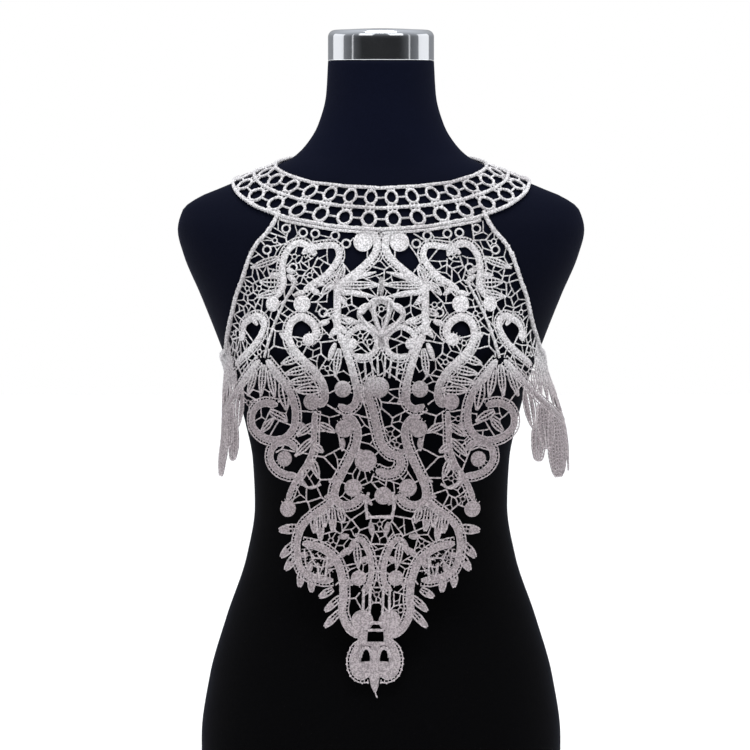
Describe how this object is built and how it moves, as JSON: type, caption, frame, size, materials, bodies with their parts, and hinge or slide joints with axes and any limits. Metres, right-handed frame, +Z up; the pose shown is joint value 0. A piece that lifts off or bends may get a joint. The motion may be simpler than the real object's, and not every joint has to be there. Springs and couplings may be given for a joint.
{
  "type": "lace collar on a dress form",
  "caption": "White guipure lace bib collar with a ringed neck band, side wings and a pointed front, worn on a black limbless dress form with a bright neck cap.",
  "frame": {"origin": "middle of the dress form's flat base, on the surface it stands on", "axes": "+Z up through the neck, -Y is the front of the collar, +X is the right side seen from the front"},
  "size_m": [0.406, 0.2462, 0.7704],
  "materials": {
    "lace": "matte",
    "jersey": "matte",
    "cap": "polished"
  },
  "bodies": {
    "root": {"bib_front": "lace", "bib_point": "lace", "form_torso": "jersey", "neck_band_back_left": "lace", "neck_band_back_right": "lace", "neck_band_front": "lace", "neck_cap": "cap", "pendant": "lace", "wing_left": "lace", "wing_right": "lace"}
  },
  "joints": []
}
